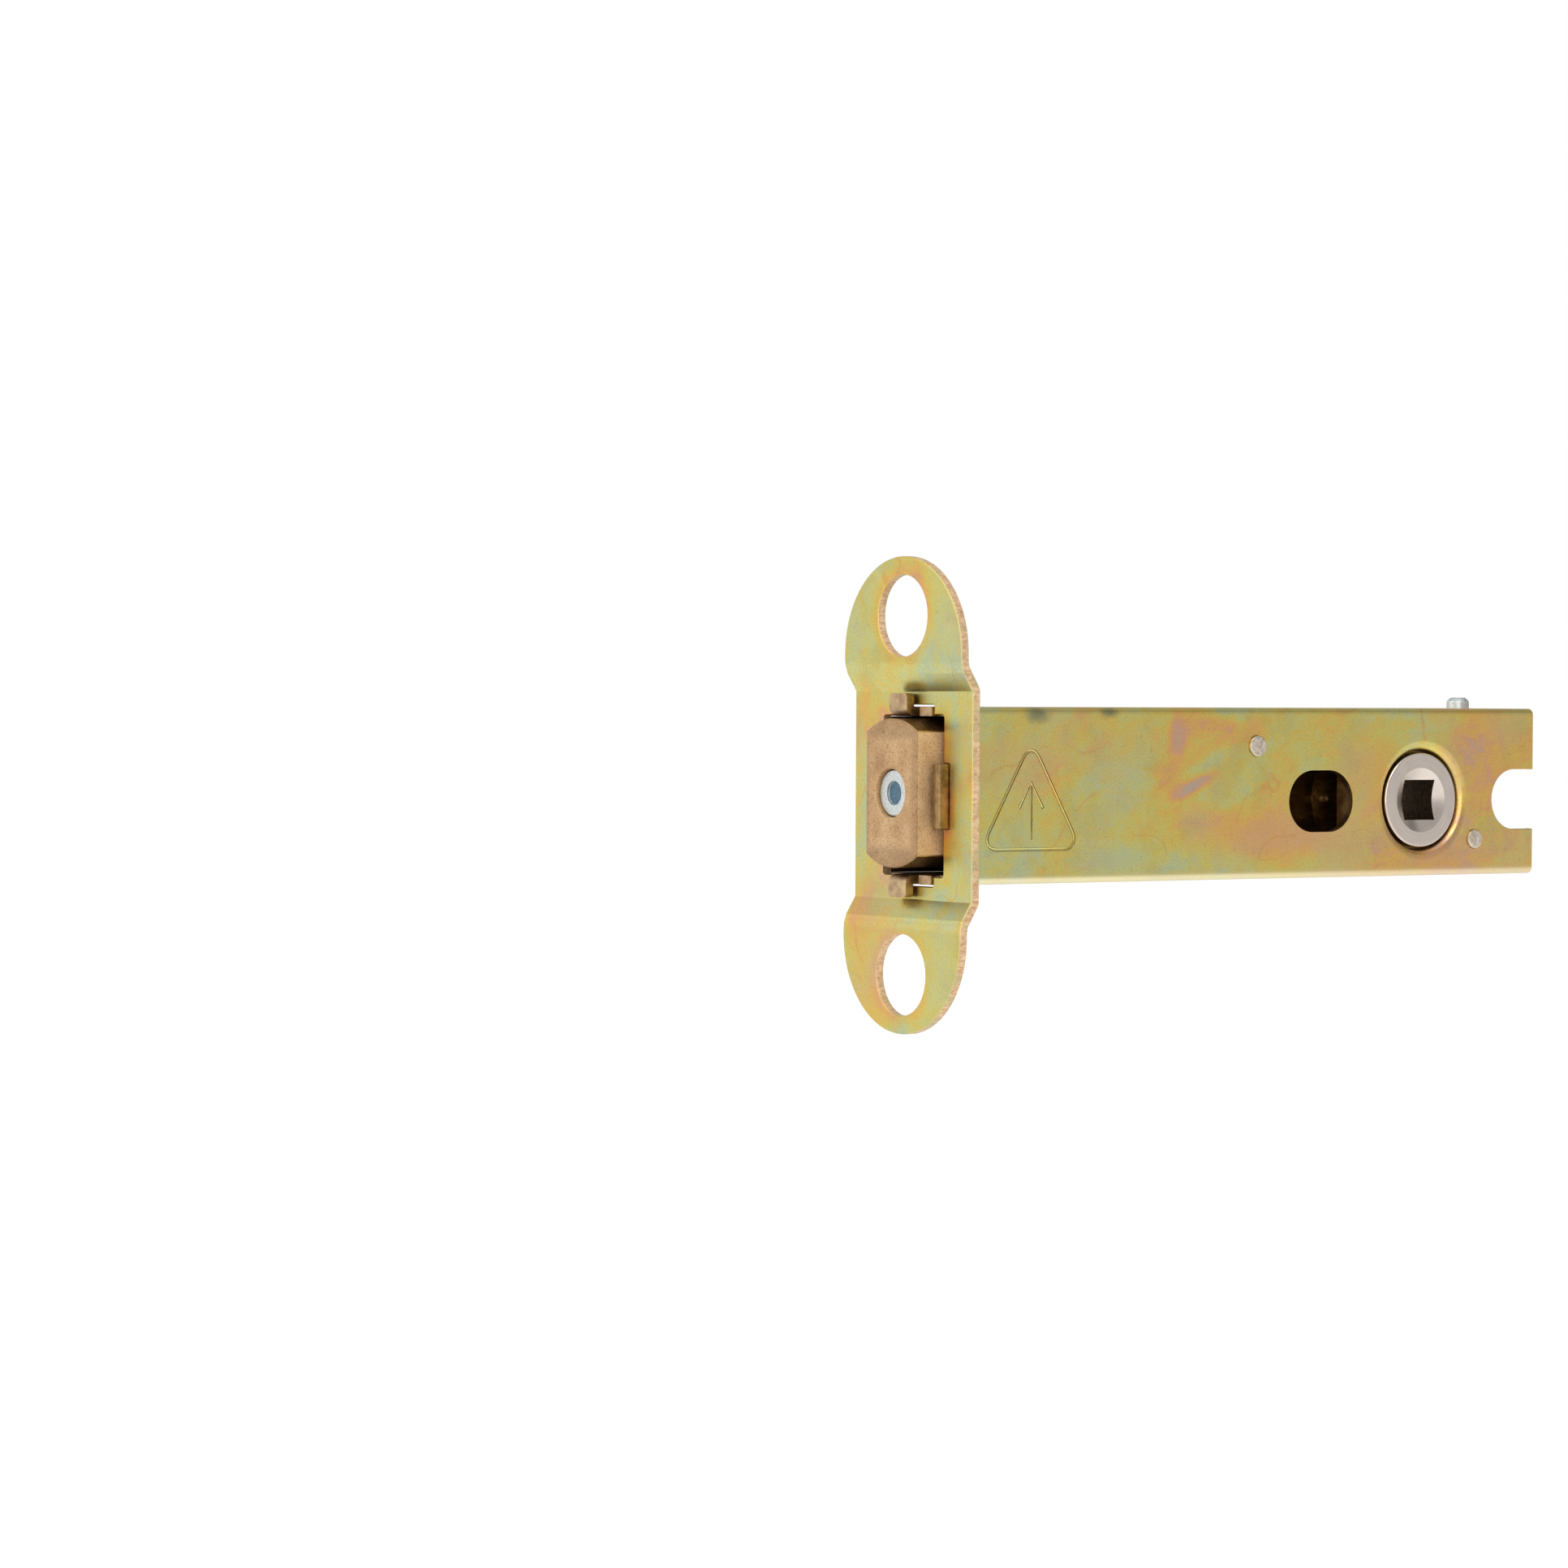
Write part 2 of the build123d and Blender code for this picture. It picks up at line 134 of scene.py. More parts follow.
def pick_points(piece, wanted):
    """Selects the vertices whose place, in millimetres, passes a test, and stays in edit mode."""
    open_mesh(piece, "VERT")
    bpy.ops.object.mode_set(mode="OBJECT")
    for vertex in piece.data.vertices:
        vertex.select = wanted(vertex.co / MM)
    bpy.ops.object.mode_set(mode="EDIT")


# %% Helpers for welding
BODY_OF = {name: node["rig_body"] for name, node in frame["nodes"].items()}
CAD_WELD = 0.002
CUT_WELD = 0.03
ON_PLANE = 1e-7
FLAT_WITHIN = 0.4


def cut_through(axis, place):
    """Cuts the open mesh right through at a plane, and leaves the cut selected."""
    across = Vector([float(axis == name) for name in "XYZ"])
    bpy.ops.mesh.select_all(action="SELECT")
    bpy.ops.mesh.bisect(plane_co=across * place * MM, plane_no=across, threshold=ON_PLANE)


def welded(node, cuts):
    """A whole-faced copy of a CAD node that stands for it, cut at planes given as axis and place."""
    piece = bpy.data.objects.new(node + "_made", frame["nodes"][node].data.copy())
    bpy.context.scene.collection.objects.link(piece)
    piece.data.materials.clear()
    open_mesh(piece, "VERT")
    bpy.ops.mesh.select_all(action="SELECT")
    bpy.ops.mesh.remove_doubles(threshold=CAD_WELD * MM)
    for axis, place in cuts:
        cut_through(axis, place)
        bpy.ops.mesh.mark_seam()
    bpy.ops.mesh.select_all(action="SELECT")
    bpy.ops.mesh.remove_doubles(threshold=CUT_WELD * MM)
    bpy.ops.mesh.dissolve_limited(angle_limit=radians(FLAT_WITHIN), delimit={"SEAM"})
    bpy.ops.object.mode_set(mode="OBJECT")
    bpy.ops.mesh.customdata_custom_splitnormals_clear()
    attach(piece, BODY_OF[node])
    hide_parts(node)
    return piece


# %% [markdown]
# ## Rounding and shading
# No real edge is quite sharp, and a thin line of light along each edge is what shows metal to be solid. A
# Bevel modifier that works by angle rounds them all at once. The broad faces beside such a narrow round
# would be shaded as if they swelled, so the normals are then weighed by area.

# %% Helpers for rounding and shading
def ease_edges(piece, width, steps=2, sharper_than=32):
    """Rounds every edge that turns more than an angle, as tumbling and plating do."""
    take(piece)
    ease = piece.modifiers.new("ease", "BEVEL")
    ease.width = width * MM
    ease.segments = steps
    ease.limit_method = "ANGLE"
    ease.angle_limit = radians(sharper_than)
    ease.use_clamp_overlap = False
    ease.miter_outer = "MITER_ARC"
    bpy.ops.object.modifier_apply(modifier="ease")


def smooth(piece, angle=38):
    """Shades rounds as rounds, and keeps the broad faces flat by weighing normals by area."""
    take(piece)
    bpy.ops.object.shade_smooth_by_angle(angle=radians(angle))
    weigh = piece.modifiers.new("weigh", "WEIGHTED_NORMAL")
    weigh.keep_sharp = True
    weigh.weight = 100
    bpy.ops.object.modifier_apply(modifier="weigh")
    print(piece.name, len(piece.data.polygons), "faces")


# %% [markdown]
# ## The forend
# The forend is blanked from sheet with a press tool, and the same stroke sets its middle back behind the
# two ears. Soft sheet does not bend there in a sharp line, so rows of points near each bend are pushed back
# by a parabola until the ear runs over in a curve. Blanking pulls the front edges over into a small round
# and leaves the cut wall dull. A bevel on all sharp edges gives that round.

# %% Forend
SCREW_Z = 22.35
BEND_Z = 15.59
BEND_SPREAD = 1.5
BEND_SLOPE = 0.69
EAR_ROWS = (16.25, 16.53, 16.81, 17.09)


def soften_bends(sheet):
    """Adds rows of points to the ears, then pushes every row near a bend back by a parabola."""
    open_mesh(sheet, "VERT")
    for row in EAR_ROWS:
        for way in (-1, 1):
            cut_through("Z", way * row)
    bpy.ops.object.mode_set(mode="OBJECT")
    for row in sorted({round(abs(vertex.co.z) / MM, 2) for vertex in sheet.data.vertices}):
        inward = BEND_SPREAD - abs(row - BEND_Z)
        if inward > 0:
            pick_points(sheet, lambda spot: round(abs(spot.z), 2) == row)
            push = BEND_SLOPE * inward**2 / (4 * BEND_SPREAD)
            bpy.ops.transform.translate(value=(push * MM, 0, 0))


forend = welded("forend", [("Z", -SCREW_Z), ("Z", 0.0), ("Z", SCREW_Z)])
soften_bends(forend)
ease_edges(forend, width=0.16, steps=3)
smooth(forend)

# %% [markdown]
# ## The case and its drawn collar
# The case is a folded channel with a flat cover let in between its walls. Round the follower a punch has
# drawn the sheet inwards, so the mouth of that hole is a smooth roll and not a cut edge. In the solid the
# roll is three flats, and its rings of edges are bevelled here until it reads as one curve. The lugs that
# hold the forend were sheared and then bent over, so their corners are worn rounder.

# %% Case with rolled collar mouths
SPINDLE = Vector((79.25, 0.0, -1.05))
TAB_ROOT = 1.2
GUIDE_PIN_X = 50.43
FRONT_HOLE_X = 61.45
SPRING_PIN_X = 88.4
STUD_HOLE_X = 92.36  # just behind the hole's middle, where the cut runs clear of other corners
HOLES_X = (GUIDE_PIN_X, FRONT_HOLE_X, SPINDLE.x, SPRING_PIN_X, STUD_HOLE_X)
SIDE_CUTS = [("X", x) for x in (TAB_ROOT, *HOLES_X)]
MOUTH_REACH = (6.45, 7.85)
MOUTH_Y = 6.15
MOUTH_ROUND = 0.17
SAME_LEVEL = 0.01
SAME_RING = 0.05
LUG_BACK_X = 0.5
LUG_TOP_Z = 12.6
LUG_CORNER = 0.5
LUG_ROUND = 0.5
SHEET_EASE = 0.1


def from_spindle(spot):
    """How far a place is from the follower's axis, in millimetres."""
    return sqrt((spot.x - SPINDLE.x) ** 2 + (spot.z - SPINDLE.z) ** 2)


def on_mouth(a, b):
    """True for the ring edges of a collar's rolled mouth."""
    on_ring = abs(a.y - b.y) < SAME_LEVEL and abs(from_spindle(a) - from_spindle(b)) < SAME_RING
    return on_ring and MOUTH_REACH[0] < from_spindle(a) < MOUTH_REACH[1] and abs(a.y) > MOUTH_Y


def on_lug_corner(a, b):
    """True for the two corners of a bent lug's outline, which run along X."""
    along = max(a.x, b.x) < LUG_BACK_X and abs(a.x - b.x) > LUG_CORNER
    return along and min(abs(a.z), abs(b.z)) > LUG_TOP_Z


def make_side(node):
    """A side of the case with a smooth mouth, worn lugs and eased edges."""
    side = welded(node, SIDE_CUTS)
    for wanted, width, steps in [(on_mouth, MOUTH_ROUND, 3), (on_lug_corner, LUG_ROUND, 4)]:
        pick_edges(side, wanted)
        bpy.ops.mesh.bevel(offset=width * MM, segments=steps)
    ease_edges(side, width=SHEET_EASE)
    return side


case_channel = make_side("case_channel")
case_cover = make_side("case_cover")
smooth(case_cover)

# %% [markdown]
# ## The stamped mark
# A mark on the near side tells the fitter which way up the lock goes. It is stamped, so it is a groove and
# not paint: a rounded triangle with a plain arrow in it. A bevelled curve laid along the sheet's face makes
# a round-bottomed cutter, and a boolean presses it in. The arrow's straight stem needs only a thin cylinder.

# %% Stamped triangle and arrow
MARK_MIDDLE = Vector((13.5, -7.46, -2.2))
MARK_REACH = 9.3
MARK_SHRINK = 0.98
MARK_CORNER = 2.6
STAMP_LINE = 0.25


def stamp_line(name):
    """Turns the open mesh's edges into a round wire half sunk in the case's near face."""
    bpy.ops.object.mode_set(mode="OBJECT")
    wire = bpy.context.object
    wire.name = name
    bpy.ops.object.convert(target="CURVE")
    wire.data.bevel_depth = STAMP_LINE * MM
    wire.data.bevel_resolution = 2
    wire.data.use_fill_caps = True
    bpy.ops.object.convert(target="MESH")
    return wire


def press_in(wire):
    """Cuts a wire's groove into the case and throws the wire away."""
    take(case_channel)
    press = case_channel.modifiers.new("press", "BOOLEAN")
    press.object = wire
    press.operation = "DIFFERENCE"
    press.solver = "EXACT"
    bpy.ops.object.modifier_apply(modifier="press")
    print("pressed in:", wire.name, "with", len(wire.data.polygons), "faces")
    bpy.data.objects.remove(wire)


def upright_triangle(radius, middle):
    """A triangle of edges on the near face, its tip up."""
    take(case_channel)
    bpy.ops.object.select_all(action="DESELECT")
    turn = (radians(90), 0, 0)
    bpy.ops.mesh.primitive_circle_add(vertices=3, radius=radius * MM, location=middle * MM, rotation=turn)
    bpy.ops.object.transform_apply(location=True, rotation=True, scale=True)
    return bpy.context.object


triangle = upright_triangle(MARK_REACH, MARK_MIDDLE)
open_mesh(triangle, "VERT")
bpy.ops.mesh.select_all(action="SELECT")
bpy.ops.transform.resize(value=(MARK_SHRINK, 1, MARK_SHRINK))
bpy.ops.mesh.bevel(offset=MARK_CORNER * MM, segments=6, affect="VERTICES")
press_in(stamp_line("mark_triangle"))

# %% Arrow inside the triangle
ARROW_TIP = MARK_MIDDLE + Vector((0, 0, 3.9))
BARB_REACH = 2.2
STEM = 7.1
UNDER_TIP = 0.1
barbs = upright_triangle(BARB_REACH, ARROW_TIP - Vector((0, 0, BARB_REACH)))
pick_edges(barbs, lambda a, b: abs(a.z - b.z) < 0.1)
bpy.ops.mesh.delete(type="EDGE")
press_in(stamp_line("mark_barbs"))
bpy.ops.object.select_all(action="DESELECT")
stem_middle = ARROW_TIP - Vector((0, 0, UNDER_TIP + STEM / 2))
bpy.ops.mesh.primitive_cylinder_add(
    vertices=12, radius=STAMP_LINE * MM, depth=STEM * MM, location=stem_middle * MM
)
press_in(bpy.context.object)
smooth(case_channel, angle=30)

# %% [markdown]
# ## Follower, bolt and rivet
# The follower is turned and nickel plated, and only the rims of its faces are rounded. The bolt is sawn
# from extruded brass bar and tumbled in stones, which rounds every corner. The rivet's head was pressed
# hollow, and its rim is soft. Their forms are whole in the solids, so bevels are all that they need.

# %% Follower, bolt and rivet
FACE_Y = 6.99
FACE_REACH = 6.2
FACE_ROUND = 0.25


def on_face_rim(a, b):
    """True for the outer rims of the follower's two faces."""
    return min(abs(a.y), abs(b.y)) > FACE_Y and min(from_spindle(a), from_spindle(b)) > FACE_REACH


follower = welded("follower", [("X", SPINDLE.x)])
pick_edges(follower, on_face_rim)
bpy.ops.mesh.bevel(offset=FACE_ROUND * MM, segments=3)
smooth(follower, angle=8)
bolt_head = welded("bolt_head", [("Y", 0.0)])
ease_edges(bolt_head, width=0.2, steps=3, sharper_than=40)
smooth(bolt_head, angle=45)
bolt_rivet = welded("bolt_rivet", [("Y", 0.0)])
ease_edges(bolt_rivet, width=0.08, steps=3)
smooth(bolt_rivet)

# %% [markdown]
# ## Pins and stud
# The pins are riveted over with a small punch, which rounds their rims and leaves their ends a little
# hollow. An inset on each end and a short push inwards make that hollow, and the bevel rounds the rim.

# %% Pins and stud
PUNCH_RIM = 0.55
PUNCH_DEPTH = 0.05


def make_pin(node):
    """A pin with punched ends."""
    pin = welded(node, [])
    for way in (-1, 1):
        pick_faces(pin, lambda middle, normal: normal.y * way > 0.9)
        bpy.ops.mesh.inset(thickness=PUNCH_RIM * MM)
        bpy.ops.transform.translate(value=(0, -way * PUNCH_DEPTH * MM, 0))
    ease_edges(pin, width=0.18, steps=3)
    smooth(pin)
    return pin


guide_pin = make_pin("guide_pin")
spring_pin = make_pin("spring_pin")
stop_stud = welded("stop_stud", [("Y", 0.0)])
ease_edges(stop_stud, width=0.16, steps=3)
smooth(stop_stud)

# %% [markdown]
# ## Drawbar and leaf spring
# Inside the case a folded strip links the bolt to the follower, and a bowed leaf presses on the follower's
# cam. They show only through the holes, so eased edges are enough for them.

# %% Drawbar and leaf spring
GUIDE_SLOT_X = 56.2
drawbar = welded("drawbar", [("Y", 0.0), ("X", GUIDE_SLOT_X)])
ease_edges(drawbar, width=0.08)
smooth(drawbar)
detent_spring = welded("detent_spring", [("X", SPRING_PIN_X)])
ease_edges(detent_spring, width=0.08, sharper_than=60)
smooth(detent_spring)

# %% [markdown]
# ## Writing shaders as sums
# A finish is a sum of patterns: where the film is thick, where the hand has rubbed, how fine the grain is.
# The small class below wraps the output of a shader node, so that such a sum can be written as one, and
# every plus or times adds a Math node. All other nodes come from its one method, node().

# %% A socket that can be added and multiplied
class Wire:
    """The output of a shader node, used like a number."""

    def __init__(self, tree, socket=None):
        self.tree = tree
        self.socket = socket

    def node(self, kind, settings=None, sockets=None, out=0):
        """Adds a node, makes its settings, then sets or links its sockets."""
        made = self.tree.nodes.new("ShaderNode" + kind)
        for name, value in (settings or {}).items():
            if name == "stops":
                self.set_stops(made.color_ramp, value)
            else:
                setattr(made, name, value)
        for name, value in (sockets or {}).items():
            if isinstance(value, Wire):
                self.tree.links.new(value.socket, made.inputs[name])
            else:
                made.inputs[name].default_value = value
        return Wire(self.tree, made.outputs[out] if made.outputs else None)

    @staticmethod
    def set_stops(ramp, stops):
        """Gives a colour ramp its stops, pairs of place and colour."""
        while len(ramp.elements) < len(stops):
            ramp.elements.new(1.0)
        for element, (place, colour) in zip(ramp.elements, stops):
            element.position = place
            element.color = colour

    def math(self, operation, first, second):
        """Adds a Math node on two values."""
        return self.node("Math", {"operation": operation}, {0: first, 1: second})

    def __add__(self, other):
        return self.math("ADD", self, other)

    def __radd__(self, other):
        return self.math("ADD", other, self)

    def __sub__(self, other):
        return self.math("SUBTRACT", self, other)

    def __rsub__(self, other):
        return self.math("SUBTRACT", other, self)

    def __mul__(self, other):
        return self.math("MULTIPLY", self, other)

    def __rmul__(self, other):
        return self.math("MULTIPLY", other, self)

    def __abs__(self):
        return self.math("ABSOLUTE", self, 0.0)


# %% [markdown]
# ## Patterns
# Every pattern reads Object coordinates, scaled to millimetres, so that its sizes can be read off a ruler.
# Noise gives clouds and grain, a stretched spherical gradient gives one soft stain in a known place, and a
# smooth step turns a cloud into a patch with an edge.

# %% Place and pattern helpers
def start_material(name):
    """A new material with an empty tree, and the millimetre coordinates to start from."""
    material = bpy.data.materials.new(name)
    material.use_nodes = True
    material.node_tree.nodes.clear()
    wire = Wire(material.node_tree)
    place = wire.node("TexCoord", out="Object")
    return material, wire.node("Mapping", sockets={"Vector": place, "Scale": (1 / MM, 1 / MM, 1 / MM)})


def noise(place, size, detail=3.0, rough=0.5):
    """Clouds of a size in millimetres, from 0 to 1."""
    sockets = {"Vector": place, "Scale": 1 / size, "Detail": detail, "Roughness": rough}
    return place.node("TexNoise", {"noise_dimensions": "3D"}, sockets)


def part_of(place, axis):
    """One coordinate of a place, in millimetres."""
    return place.node("SeparateXYZ", {}, {"Vector": place}, out=axis)


def stretched(place, scale, turn=0.0, middle=(0, 0, 0)):
    """Places for a pattern that is drawn out from a middle, along axes turned about Y."""
    sockets = {"Vector": place, "Location": middle, "Rotation": (0, radians(turn), 0), "Scale": scale}
    return place.node("Mapping", {"vector_type": "TEXTURE"}, sockets)


def swirled(place, size, reach):
    """Places pushed about by clouds, so that stains get ragged outlines."""
    sockets = {"Vector": place, "Scale": 1 / size, "Detail": 3.0, "Roughness": 0.55}
    push = place.node("TexNoise", {}, sockets, out="Color")
    push = place.node("VectorMath", {"operation": "SUBTRACT"}, {0: push, 1: (0.5, 0.5, 0.5)})
    push = place.node("VectorMath", {"operation": "SCALE"}, {0: push, "Scale": reach})
    return place.node("VectorMath", {"operation": "ADD"}, {0: place, 1: push})


def stain(place, middle, half, turn=0.0):
    """One soft spot, 1 in its middle and 0 at its rim, turned about Y."""
    spot = stretched(place, half, turn, middle)
    return place.node("TexGradient", {"gradient_type": "SPHERICAL"}, {"Vector": spot}, out="Fac")


def step(value, low, high):
    """0 below low, 1 above high, smooth between."""
    sockets = {"Value": value, "From Min": low, "From Max": high}
    return value.node("MapRange", {"interpolation_type": "SMOOTHSTEP"}, sockets)


# %% Colour and metal helpers
MIX_UNDER = 6  # a Mix node has several sockets of each name, so those for colours go by number
MIX_OVER = 7
MIX_RESULT = 2


def shade(red, green, blue):
    """A colour given as on a screen, 0 to 255, in the linear light that shaders use."""
    parts = [value / 255 for value in (red, green, blue)]
    return tuple(p / 12.92 if p < 0.04045 else ((p + 0.055) / 1.055) ** 2.4 for p in parts) + (1.0,)


def tint(value, stops):
    """A colour ramp over a value."""
    settings = {"stops": [(place, shade(*colour)) for place, colour in stops]}
    return value.node("ValToRGB", settings, {"Fac": value})


def coated(colour, coats):
    """A colour under thin coats, each given as its share, its mask and its own colour."""
    for share, mask, coat in coats:
        sockets = {"Factor": share * mask, MIX_UNDER: colour, MIX_OVER: shade(*coat)}
        colour = mask.node("Mix", {"data_type": "RGBA"}, sockets, out=MIX_RESULT)
    return colour


def finish_metal(material, colour, roughness, height, depth, metallic=1.0):
    """Puts colour, roughness and relief on a metal surface, the relief's depth in millimetres."""
    bump = height.node("Bump", {}, {"Height": height, "Strength": 1.0, "Distance": depth * MM})
    sockets = {"Base Color": colour, "Roughness": roughness, "Metallic": metallic, "Normal": bump}
    metal = height.node("BsdfPrincipled", {}, sockets)
    metal.node("OutputMaterial", {}, {"Surface": metal})
    print("finish", material.name, len(material.node_tree.nodes), "nodes")
    return material


# %% [markdown]
# ## Yellow passivated zinc
# Pressed steel is zinc plated and dipped in a chromate bath. The clear film it leaves is about as thick as
# a wave of light, so it shows colours as oil on water does: where it thins or thickens, gold runs through
# orange and pink to lavender and teal. One number stands for the film's thickness, and one ramp gives its
# colour, so that neighbouring colours come in their natural order. Clouds and draining streaks move that
# number, and a stain in a known place pulls it towards a thickness of its own.

# %% Colours of the film
FILM = [
    (0.00, (170, 192, 158)),
    (0.16, (189, 198, 152)),
    (0.32, (204, 199, 127)),
    (0.46, (212, 195, 106)),
    (0.58, (221, 187, 98)),
    (0.70, (225, 174, 105)),
    (0.80, (216, 165, 132)),
    (0.90, (190, 174, 158)),
    (1.00, (171, 186, 158)),
]
THICKER_PER_MM = 0.0022
print("film ramp of", len(FILM), "colours")


def zinc_film(place, base, lively, drain, stains):
    """The film's thickness: a slow rise to the rear, clouds, draining streaks and placed stains."""
    drift = swirled(place, 9.0, 8.0)
    loose = swirled(drift, 2.2, 1.6)
    clouds = noise(loose, 13.0, 2.0) + 0.9 * noise(stretched(loose, (3.2, 1, 1), drain), 3.6, 4.0, 0.6)
    film = base + THICKER_PER_MM * part_of(place, "X") + lively * (clouds - 0.95)
    film = film + 0.5 * (noise(loose, 1.1, 3.0, 0.6) - 0.5)
    ragged = swirled(swirled(place, 5.0, 2.4), 1.2, 0.7)
    for thickness, share, middle, half, turn in stains:
        film = film + share * step(stain(ragged, middle, half, turn), 0.0, 0.8) * (thickness - film)
    return film


def tide_lines(place):
    """Thin curved lines where the draining bath stood still, broken here and there."""
    level = noise(stretched(swirled(place, 6.0, 3.0), (2.2, 1, 1), -18), 9.0, 1.0)
    line = 1.0 - step(abs(level - 0.5), 0.0, 0.010)
    return line * step(noise(place, 8.0, 2.0), 0.46, 0.60)


# %% [markdown]
# ## What lies over the film
# Storage and handling leave thin coats on the colour: dim patches, a pale haze, a rolled grain, specks,
# tide lines where the bath stood still, and a few dark blots. On the case's lower fold a pale coat is a
# painted highlight, for the floor's light that the fold mirrors.
# Each coat is a mask and a colour, and they are laid on in turn, because a list is easier to read and to
# reorder than a chain of Mix nodes.

# %% Zinc with its coats
# where the case's lower fold runs, which takes a painted highlight
FOLD_Z = (9.7, 10.7)
FOLD_X = (1.0, 2.0)
OPENING_Y = 6.3
OPENING_Z = 10.0
SCREW_HALO = (5.0, 7.4)


def yellow_zinc(name, base, lively, drain, stains, halo=None, blots=()):
    """Passivated sheet with a rolled grain, a halo round an opening, a few dark blots and a painted
    highlight on the case's lower fold.
    """
    material, place = start_material(name)
    film = zinc_film(place, base, lively, drain, stains)
    if halo:
        film = film + halo(place)
    dim = step(noise(swirled(place, 3.0, 2.0), 5.0, 5.0, 0.6), 0.46, 0.72)
    haze = step(noise(swirled(place, 7.0, 5.0), 10.0, 4.0, 0.6), 0.46, 0.66)
    grain = noise(place, 0.2, 2.0, 0.6)
    speck = step(noise(place, 0.5, 3.0, 0.6), 0.60, 0.74)
    spots = [step(stain(swirled(place, 1.8, 1.0), middle, half), 0.0, 0.9) for middle, half in blots]
    fold_highlight = step(0.0 - part_of(place, "Z"), *FOLD_Z) * step(part_of(place, "X"), *FOLD_X)
    coats = [
        (0.20, dim, (150, 134, 88)),
        (0.26, haze, (196, 186, 162)),
        (0.26, step(grain, 0.42, 0.68), (150, 130, 86)),
        (0.30, speck, (150, 122, 84)),
        (0.45, tide_lines(place), (206, 146, 92)),
        *((0.70, spot, (98, 106, 94)) for spot in spots),
        # painted highlight: the lower fold made pale for the floor's light that it mirrors
        (0.60, fold_highlight, (224, 214, 188)),
    ]
    blush = step(noise(place, 2.4, 4.0), 0.52, 0.72)
    roughness = 0.27 + 0.10 * grain + 0.06 * blush
    height = 0.6 * grain + 0.8 * noise(place, 1.6, 3.0)
    return finish_metal(material, coated(tint(film, FILM), coats), roughness, height, 0.012)


def opening_halo(place):
    """Thicker film where the bath drained slowly, along the bolt's opening and the screw holes."""
    loose = swirled(place, 2.5, 1.6)
    across, up = abs(part_of(loose, "Y")), abs(part_of(loose, "Z"))
    aside = loose.math("MAXIMUM", across - OPENING_Y, up - OPENING_Z)
    reach = loose.math("POWER", across * across + (up - SCREW_Z) * (up - SCREW_Z), 0.5)
    return 0.28 * (1.0 - step(aside, 0.0, 2.6)) + 0.20 * (1.0 - step(reach, *SCREW_HALO))


# %% Zinc on the forend
FOREND_STAINS = [  # thickness, share, middle, half size and turn
    (0.54, 0.8, (-1, 7, -24), (6, 9, 13), 0),
    (0.58, 0.7, (-1, 1, 22), (6, 9, 9), 0),
    (0.18, 0.5, (-1, -9, 21), (6, 4, 7), 0),
    (0.22, 0.6, (-1, -8.5, -21), (6, 5, 9), 0),
    (0.10, 0.6, (1, -9, 5), (6, 3, 6), 0),
    (0.12, 0.7, (1, 9.6, 0), (6, 1.8, 9), 0),
    (0.16, 0.6, (-1, 10, 20), (6, 3, 7), 0),
]
forend_zinc = yellow_zinc(
    "zinc_on_forend", base=0.41, lively=1.1, drain=80, stains=FOREND_STAINS, halo=opening_halo
)

# %% Zinc on the case
CASE_STAINS = [  # thickness, share, middle, half size and turn
    (0.88, 1.0, (39.6, -7.4, 0.9), (6.4, 5, 1.7), -21),
    (0.20, 0.8, (42.5, -7.4, 3.9), (6, 5, 1.8), -25),
    (0.83, 1.0, (37.1, -7.4, 7.4), (2.3, 5, 4.6), 0),
    (0.72, 0.9, (36.0, -7.4, 3.4), (3.8, 5, 1.4), -20),
    (0.94, 0.5, (44.2, -7.4, 8.7), (5.5, 5, 2.0), 0),
    (0.68, 0.9, (50.0, -7.4, 8.2), (3.2, 5, 3.0), 0),
    (0.76, 0.9, (54, -7.4, -5.4), (22, 8, 5.0), 0),
    (0.14, 0.8, (28, -7.4, -8.4), (9, 6, 3.4), 0),
    (0.70, 0.6, (69, -7.4, 2.0), (10, 6, 10), 0),
    (0.90, 0.3, (93, -7.4, 5.0), (14, 6, 9), 0),
    (0.70, 0.7, (82, -7.4, -9.0), (9, 6, 2.6), 0),
]
CASE_BLOTS = [  # middle and half size
    ((14.5, -7.3, 10.2), (2.8, 1.2, 1.7)),
    ((26.0, -7.3, 10.5), (2.2, 1.2, 1.3)),
]
case_zinc = yellow_zinc(
    "zinc_on_case", base=0.36, lively=0.9, drain=-24, stains=CASE_STAINS, blots=CASE_BLOTS
)

# %% [markdown]
# ## Cut walls and hidden faces
# Where sheet is sheared, the tool tears the metal and drags fine lines through its thickness. The film
# takes badly there and stays pinkish and speckled. Inside the case, on the walls of its holes and on the
# parts that run inside it, a dull dark brown is painted as painted shade, for the light that hardly gets in.
# One noise, drawn out along the drag, gives the lines, their colour and their relief together.

# %% Sheared walls and the inside in painted shade
DULL_METALLIC = 0.3


def sheared_zinc(name, dark, middle, light):
    """Cut walls: drag lines along the sheet's thickness, with bright specks."""
    material, place = start_material(name)
    drag = noise(stretched(place, (3, 1, 1)), 0.3, 3.0, 0.6)
    speck = step(noise(place, 0.3, 2.0, 0.6), 0.58, 0.70)
    cloud = step(noise(place, 2.5, 3.0), 0.5, 0.66)
    colour = tint(drag, [(0.32, dark), (0.5, middle), (0.68, light)])
    colour = coated(colour, [(0.4, speck, (240, 216, 172)), (0.6, cloud, (186, 178, 126))])
    height = drag + 0.5 * speck
    return finish_metal(material, colour, 0.40 + 0.12 * drag, height, 0.02, metallic=DULL_METALLIC)


